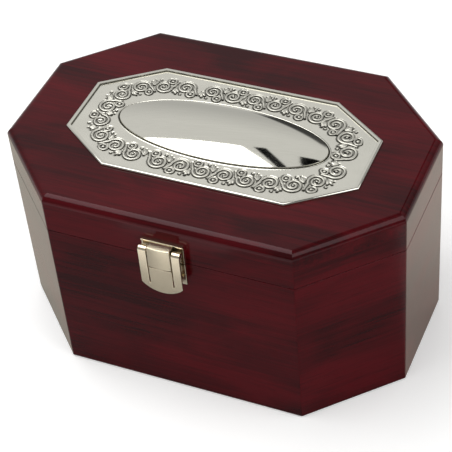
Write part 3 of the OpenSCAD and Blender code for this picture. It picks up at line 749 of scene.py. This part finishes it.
class CITRON_OT_stage(bpy.types.Operator):
    """Lays the floor and sets the light and the camera"""
    bl_idname = "citron_box.stage"
    bl_label = "Floor, light and camera"

    def execute(self, context):
        scene = context.scene
        s = scene.citron_box.stage
        scene.view_settings.view_transform = "Standard"
        scene.world = studio_world(s)
        bm = bmesh.new()
        bmesh.ops.create_circle(bm, cap_ends=True, segments=96, radius=FLOOR_RADIUS)
        floor = new_object("floor", bm)
        floor.data.materials.append(painted_floor(s))
        for name, place, (wide, deep), turn, mirrored in LAMPS:
            lamp = bpy.data.lights.new(name, "AREA")
            lamp.shape = "RECTANGLE"
            lamp.size, lamp.size_y = wide, deep
            lamp.energy = getattr(s, name)
            light = bpy.data.objects.new(name, lamp)
            light.location = place
            light.rotation_euler = [math.radians(angle) for angle in turn]
            light.visible_camera = False
            light.visible_glossy = mirrored
            scene.collection.objects.link(light)
        for name, setting, height, corners in CARDS:
            bm = bmesh.new()
            flat_face(bm, [(x * MM, y * MM, height * MM) for x, y in corners])
            card = new_object(name, bm)
            card.data.materials.append(matt_paint(name, getattr(s, setting)))
            card.visible_camera = card.visible_diffuse = card.visible_shadow = False
        lens = bpy.data.cameras.new("camera")
        lens.sensor_width = CAMERA_SENSOR
        lens.lens = CAMERA_LENS
        lens.clip_start = 10 * MM
        camera = bpy.data.objects.new("camera", lens)
        turn = Matrix(CAMERA_WAYS).transposed().to_4x4()
        camera.matrix_world = Matrix.Translation(CAMERA_PLACE) @ turn
        scene.collection.objects.link(camera)
        scene.camera = camera
        return {"FINISHED"}


class CITRON_OT_wood(bpy.types.Operator):
    """Finishes the wooden walls, rails and panels"""
    bl_idname = "citron_box.wood"
    bl_label = "Lacquered wood"

    def execute(self, context):
        for index, side in enumerate(SIDES):
            material = lacquered_mahogany(math.radians(45 * index % 180))
            finish_node(f"base_wall_{side}", material)
            finish_node(f"lid_rail_{side}", material)
        finish_node("lid_panel", lacquered_mahogany(0))
        finish_node("base_panel", stained_mahogany())
        return {"FINISHED"}


class CITRON_OT_plaque(bpy.types.Operator):
    """Presses the plaque with its dome and scroll band"""
    bl_idname = "citron_box.plaque"
    bl_label = "Plaque"

    def execute(self, context):
        s = context.scene.citron_box.plaque
        field = PLAQUE_LOW.z + s.edge + s.rounding - s.drop
        band = Band(s.band_a, s.band_b, s.squareness, field, BAND_STEPS)
        stems, beads = scroll_pattern(band, s)
        satin = pressed_silver("pressed_silver_plate", sheen=0.21, bright=0.98)
        mirror = polished_silver()
        # The scrolls get a rougher copy of the plate's silver, with its colour dimmed as painted shade so that they
        # shine less than the ground
        dimmed_silver = pressed_silver("worn_silver_scrolls", sheen=0.42, bright=0.88)
        sheet = pressed_sheet(s, field, band, scroll_tree(band, stems, beads))
        relief = scroll_relief(s, band, stems, beads, field)
        for bm in (sheet, relief):
            move(bm, (PLAQUE_MIDDLE.x, PLAQUE_MIDDLE.y, 0))
        make_piece("plaque_sheet", sheet, "lid", [satin, mirror], ["plaque"], sharp=35)
        make_piece("plaque_scrolls", relief, "lid", [dimmed_silver], sharp=80)
        return {"FINISHED"}


def flap_sheet(s):
    """Flap with rolled eyes, rounded end, slots and spring tongue, from one outline, and the hook behind it."""
    bm = bmesh.new()
    half = (FLAP_HIGH.x - FLAP_LOW.x) / 2
    front, back = FLAP_LOW.y, FLAP_LOW.y + s.sheet
    tongue = s.tongue / 2
    notch = tongue + s.slot
    pin_z = PIN_AXIS.z
    sweep = math.asin(half / s.end_radius)
    outline = []
    for k in range(END_STEPS + 1):
        angle = sweep * (2 * k / END_STEPS - 1)
        outline.append((s.end_radius * math.sin(angle), FLAP_LOW.z + s.end_radius * (1 - math.cos(angle))))
    right = [(half, pin_z), (notch, pin_z), (notch, s.slot_end), (tongue, s.slot_end), (tongue, s.spring_top)]
    outline += right + [(-x, z) for x, z in reversed(right)]
    face = flat_face(bm, [(x, back, z) for x, z in outline])
    pull(bm, [face], (0, front - back, 0), keep=True)
    face_outward(bm)
    ends = [f for f in bm.faces if f.normal.z > 0.9 and f.calc_center_median().z > pin_z - 0.1 * MM]
    bmesh.ops.spin(bm, geom=ends, cent=PIN_AXIS, axis=(-1, 0, 0), dvec=(0, 0, 0), angle=EYE_TURN, steps=EYE_STEPS)
    bmesh.ops.delete(bm, geom=ends, context="FACES")
    round_edges(bm, s.edge)
    hook = bmesh.new()
    root, point = back - 0.3 * MM, FRONT_Y - s.hook_in
    under, over = s.spring_top - s.sheet, s.spring_top - 0.1 * MM
    drawn_bar(hook, [(root, under), (point, under), (point, over), (root, over)], s.tongue - 0.2 * MM)
    round_edges(hook, FINE_EDGE)
    add_mesh(bm, hook)
    return bm


def lid_plate_sheet(s):
    """Screwed plate with its flange, and the strip that runs out as a shelf and bends down into a tongue."""
    bm = bmesh.new()
    top, low = PLATE_HIGH.z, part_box("lid_rail_front")[0].z + 0.2 * MM
    face, lip = FRONT_Y - s.plate, FRONT_Y - s.flange
    under = top - s.flange_edge
    drawn_bar(bm, [(FRONT_Y, low), (FRONT_Y, top), (lip, top), (lip, under), (face, under), (face, low)],
              PLATE_HIGH.x - PLATE_LOW.x)
    round_edges(bm, PLATE_EDGE)
    strip = bmesh.new()
    front, back, reach = FLAP_LOW.y, FLAP_LOW.y + s.sheet, FLAP_LOW.y + s.bend
    root, crest = FRONT_Y - 0.6 * MM, top - 0.3 * MM
    steep = math.tan(s.slope)
    fall = (lip - reach + s.bend * math.sin(s.slope)) * steep + s.bend * math.cos(s.slope)
    turns = [s.slope + (math.pi / 2 - s.slope) * k / BEND_STEPS for k in range(BEND_STEPS + 1)]
    profile = [(root, crest), (lip, crest), (lip - 1 * MM, crest - 1 * MM * steep)]
    profile += [(reach - s.bend * math.sin(a), crest - fall + s.bend * math.cos(a)) for a in turns]
    profile += [(front, crest - fall - 0.4 * MM), (front, PLATE_LOW.z), (back, PLATE_LOW.z)]
    profile += [(back, crest - s.sheet - (lip - back) * steep), (lip, crest - s.sheet), (root, crest - s.sheet)]
    drawn_bar(strip, profile, s.tongue, steps=TONGUE_STEPS)
    round_edges(strip, s.edge, sharper_than=45)
    for v in strip.verts:
        out = share((lip - v.co.y) / (lip - reach))
        v.co.y -= s.bow * out * max(0.0, 1 - (2 * v.co.x / s.tongue) ** 2)
    add_mesh(bm, strip)
    return bm


def catch_sheet(s):
    """Screwed plate with the lip that the hook snaps under."""
    bm = bmesh.new()
    face, low, top = FRONT_Y - s.plate, CATCH_LOW.z, CATCH_HIGH.z
    drawn_bar(bm, [(FRONT_Y, low), (FRONT_Y, top), (face, top), (face, low)], CATCH_HIGH.x - CATCH_LOW.x)
    round_edges(bm, s.edge)
    lip = bmesh.new()
    root, front, under = FRONT_Y - 0.4 * MM, CATCH_LOW.y, top - s.plate
    drawn_bar(lip, [(root, top), (front, top), (front, under), (root, under)], s.tongue)
    round_edges(lip, FINE_EDGE)
    add_mesh(bm, lip)
    return bm


def slotted_screw(bm, place, head, skirt, shank, length, slot=0.4 * MM, depth=0.35 * MM):
    """Screw that points down from its head at Z 0, then placed; skirt is the depth of the cone under its head."""
    part = bmesh.new()
    bmesh.ops.create_circle(part, cap_ends=True, segments=32, radius=head)
    for side in (-1, 1):
        bmesh.ops.bisect_plane(part, geom=part.verts[:] + part.edges[:] + part.faces[:],
                               plane_co=(0, side * slot / 2, 0), plane_no=(0, 1, 0))
    rim = [e for e in part.edges if e.is_boundary]
    for drop, reach in ((skirt, shank / head), (length - skirt - shank, 1), (shank, 0.15)):
        made = bmesh.ops.extrude_edge_only(part, edges=rim)["geom"]
        moved = [v for v in made if isinstance(v, bmesh.types.BMVert)]
        bmesh.ops.translate(part, vec=(0, 0, -drop), verts=moved)
        bmesh.ops.scale(part, vec=(reach, reach, 1), verts=moved)
        rim = [e for e in made if isinstance(e, bmesh.types.BMEdge)]
    bmesh.ops.contextual_create(part, geom=rim)
    strip = [f for f in part.faces if f.calc_center_median().length < 0.1 * MM and abs(f.normal.z) > 0.9]
    pull(part, strip, (0, 0, -depth))
    bmesh.ops.transform(part, matrix=place, verts=part.verts[:])
    add_mesh(bm, part)


def screw_set(node, body, places, inwards, **sizes):
    """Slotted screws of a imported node, each at a place with its slot's own turn; inwards tips them about X."""
    bm = bmesh.new()
    for place, turn in places:
        tip = Matrix.Rotation(inwards, 4, "X") @ Matrix.Rotation(turn, 4, "Z")
        slotted_screw(bm, Matrix.Translation(place) @ tip, **sizes)
    make_piece(f"{node}_slotted", bm, body, [plated_nickel()], [node])


class CITRON_OT_hasp(bpy.types.Operator):
    """Makes the spring hasp: flap, lid plate, catch plate, screws and pin"""
    bl_idname = "citron_box.hasp"
    bl_label = "Spring hasp"

    def execute(self, context):
        s = context.scene.citron_box.hasp
        nickel = plated_nickel()
        for node, body, bm in (("hasp_flap", "flap", flap_sheet(s)), ("hasp_plate", "lid", lid_plate_sheet(s)),
                               ("catch_plate", "box", catch_sheet(s))):
            move(bm, (PIN_AXIS.x, 0, 0))
            make_piece(f"{node}_sheet", bm, body, [nickel], [node], sharp=HASP_SHARP)
        finish_node("hasp_pin", nickel)
        for node, body in (("hasp_plate_screws", "lid"), ("catch_plate_screws", "box")):
            low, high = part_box(node)
            head = (high.z - low.z) / 2
            places = [((x, low.y, low.z + head), turn) for x, turn in ((low.x + head, 0.5), (high.x - head, 1.3))]
            screw_set(node, body, places, math.pi / 2, head=head, skirt=0.6 * MM, shank=0.7 * MM,
                      length=high.y - low.y)
        return {"FINISHED"}


class CITRON_OT_hinges(bpy.types.Operator):
    """Finishes the two hinges and makes their screws"""
    bl_idname = "citron_box.hinges"
    bl_label = "Hinges"

    def execute(self, context):
        nickel = plated_nickel()
        for side in ("left", "right"):
            for part in ("hinge_base_leaf", "hinge_lid_leaf", "hinge_pin"):
                finish_node(f"{part}_{side}", nickel)
        for node, body, inwards in (("hinge_base_screws", "box", 0), ("hinge_lid_screws", "lid", math.pi)):
            low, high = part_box(node)
            leaf_low, leaf_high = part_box(node.replace("screws", "leaf_left"))
            head = (high.y - low.y) / 2
            near = low.x + head
            far = leaf_low.x + leaf_high.x - near
            places = [((x, low.y + head, low.z if inwards else high.z), turn)
                      for x, turn in ((near, 0.4), (far, 1.1), (-far, 2.0), (-near, 2.7))]
            screw_set(node, body, places, inwards, head=head, skirt=0.9 * MM, shank=0.9 * MM, length=high.z - low.z)
        return {"FINISHED"}


def inner_cut(s, high):
    """Corner cut of an eight-sided outline inside the box, from the outline's far corner."""
    return s.corner_cut - (CAD_BOX[1][0] - high.x) * MITRE


def inner_outline(s, high):
    """Eight-sided outline inside the box, from its far corner."""
    return [Vector(p) for p in octagon(high.x, high.y, inner_cut(s, high), inner_cut(s, high))]


def lining_boards(s):
    """Eight cloth-covered boards, each a little pillowed, that stand against the walls."""
    bm = bmesh.new()
    outer = inner_outline(s, LINING_HIGH)
    inner = inner_outline(s, LINING_HIGH - Vector((s.board, s.board, 0)))
    for i in range(8):
        j = (i + 1) % 8
        board = bmesh.new()
        gap = (outer[j] - outer[i]).normalized() * s.joint
        plan = [outer[i] + gap, outer[j] - gap, inner[j] - gap, inner[i] + gap]
        face = flat_face(board, [(p.x, p.y, LINING_LOW.z) for p in plan])
        pull(board, [face], (0, 0, LINING_HIGH.z - LINING_LOW.z), keep=True)
        face_outward(board)
        bmesh.ops.subdivide_edges(board, edges=board.edges[:], cuts=20, use_grid_fill=True)
        way = inner[j] - inner[i]
        length = way.length
        way.normalize()
        inward = Vector((-way.y, way.x))
        for v in board.verts:
            depth = (v.co.xy - inner[i]).dot(inward) / -s.board
            if depth > 0.9:
                continue
            along = (v.co.xy - inner[i]).dot(way)
            edge = min(along, length - along, LINING_HIGH.z - v.co.z) / s.margin
            fall = s.pillow * (1 - share(edge)) ** 2.2
            shift = inward * -fall * (1 - depth)
            v.co += Vector((shift.x, shift.y, 0))
        add_mesh(bm, board)
    return bm


def evaluated_mesh(made):
    """Mesh of an object with its modifiers applied."""
    return bpy.data.meshes.new_from_object(made.evaluated_get(bpy.context.evaluated_depsgraph_get()))


def soft_shell(name, bm, voxel, cap):
    """Blows a closed cloth shell up a little, as its filling does, and gives back the new shape as a bmesh."""
    scene = bpy.context.scene
    shell = new_object(name, bm)
    remesh = shell.modifiers.new("even", "REMESH")
    remesh.mode = "VOXEL"
    remesh.voxel_size = voxel
    even = evaluated_mesh(shell)
    shell.modifiers.clear()
    shell.data = even
    rest = [v.co.copy() for v in even.vertices]
    cloth = shell.modifiers.new("filling", "CLOTH")
    for setting, value in FILLING.items():
        setattr(cloth.settings, setting, value)
    cloth.settings.effector_weights.gravity = 0
    for step in range(1, FILLING_FRAMES + 1):
        scene.frame_set(step)
    puffed = evaluated_mesh(shell)
    shell.modifiers.clear()
    scene.frame_set(1)
    for v, old in zip(puffed.vertices, rest):
        swell = v.co - old
        if swell.length > cap:
            v.co = old + swell * (cap / swell.length)
    shell.data = puffed
    out = bmesh.new()
    out.from_mesh(shell.data)
    bpy.data.objects.remove(shell)
    return out


def shell_of(node):
    """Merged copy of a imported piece."""
    bm = bmesh.new()
    bm.from_mesh(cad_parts[node].data)
    bmesh.ops.remove_doubles(bm, verts=bm.verts[:], dist=5 * WELD)
    return bm


def keep_inside(bm, low, high, cut):
    """Holds a soft shape inside an eight-sided room."""
    for v in bm.verts:
        v.co = [max(a, min(b, c)) for a, b, c in zip(low, high, v.co)]
        over = abs(v.co.x) + abs(v.co.y) - (high.x + high.y - cut)
        if over > 0:
            v.co.x -= math.copysign(over / 2, v.co.x)
            v.co.y -= math.copysign(over / 2, v.co.y)


class CITRON_OT_lining(bpy.types.Operator):
    """Makes the lining boards, the cushion, the lid pad and the felt"""
    bl_idname = "citron_box.lining"
    bl_label = "Lining and felt"

    def execute(self, context):
        s = context.scene.citron_box.lining
        velvet = short_pile("ivory_velvet", s.cloth, s.shade, pile=0.5 * MM, sheen=0.5)
        boards = make_piece("lining_boards", lining_boards(s), "box", [velvet], ["wall_lining"], sharp=60)

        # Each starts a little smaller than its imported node, because the filling swells it
        for name, node, body, smaller, lift, voxel, room, fill in (
                ("fruit_cushion", "floor_cushion", "box", (0.985, 0.98, 0.94), 0, 3 * MM, s.swell, 0.7),
                ("lid_cushion", "lid_pad", "lid", (0.985, 0.98, 0.6), 1 * MM, 1.5 * MM, 0, 0.6)):
            low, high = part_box(node)
            middle = (low + high) / 2
            bm = shell_of(node)
            move(bm, -middle)
            bmesh.ops.scale(bm, vec=smaller, verts=bm.verts[:])
            move(bm, middle + Vector((0, 0, lift)))
            bm = soft_shell(f"{name}_shell", bm, voxel, s.swell)
            keep_inside(bm, low, high + Vector((0, 0, room)), inner_cut(s, high))
            piece = make_piece(name, bm, body, [velvet], [node], sharp=180)
            smooth = piece.modifiers.new("soft", "SUBSURF")
            smooth.levels = smooth.render_levels = 1

        bm = bmesh.new()
        face = flat_face(bm, [(p.x, p.y, FELT_LOW.z) for p in inner_outline(s, FELT_HIGH)])
        area = face.calc_area()
        pull(bm, [face], (0, 0, FELT_HIGH.z - FELT_LOW.z), keep=True)
        round_edges(bm, 0.2 * MM, segments=2)
        wool = short_pile("pressed_wool_felt", s.felt, [c * 0.5 for c in s.felt], pile=0.8 * MM, sheen=0.2)
        felt = make_piece("felt_sheet", bm, "box", [wool], ["base_felt"])
        return {"FINISHED"}


OPERATORS = (CITRON_OT_stage, CITRON_OT_wood, CITRON_OT_plaque, CITRON_OT_hasp, CITRON_OT_hinges, CITRON_OT_lining)


class CITRON_PT_panel(bpy.types.Panel):
    """Lists the pieces of the box"""
    bl_idname = "CITRON_PT_panel"
    bl_label = "Citron Box"
    bl_space_type = "VIEW_3D"
    bl_region_type = "UI"
    bl_category = "Citron Box"

    def draw(self, context):
        for operator in OPERATORS:
            self.layout.operator(operator.bl_idname)


CLASSES = (LacquerSettings, PlaqueSettings, HaspSettings, LiningSettings, StageSettings, BoxSettings,
           *OPERATORS, CITRON_PT_panel)


def register():
    for item in CLASSES:
        bpy.utils.register_class(item)
    bpy.types.Scene.citron_box = PointerProperty(type=BoxSettings)


def unregister():
    del bpy.types.Scene.citron_box
    for item in reversed(CLASSES):
        bpy.utils.unregister_class(item)


def main():
    register()
    bpy.ops.citron_box.stage()
    bpy.ops.citron_box.wood()
    bpy.ops.citron_box.plaque()
    bpy.ops.citron_box.hasp()
    bpy.ops.citron_box.hinges()
    bpy.ops.citron_box.lining()


if __name__ == "__main__":
    main()
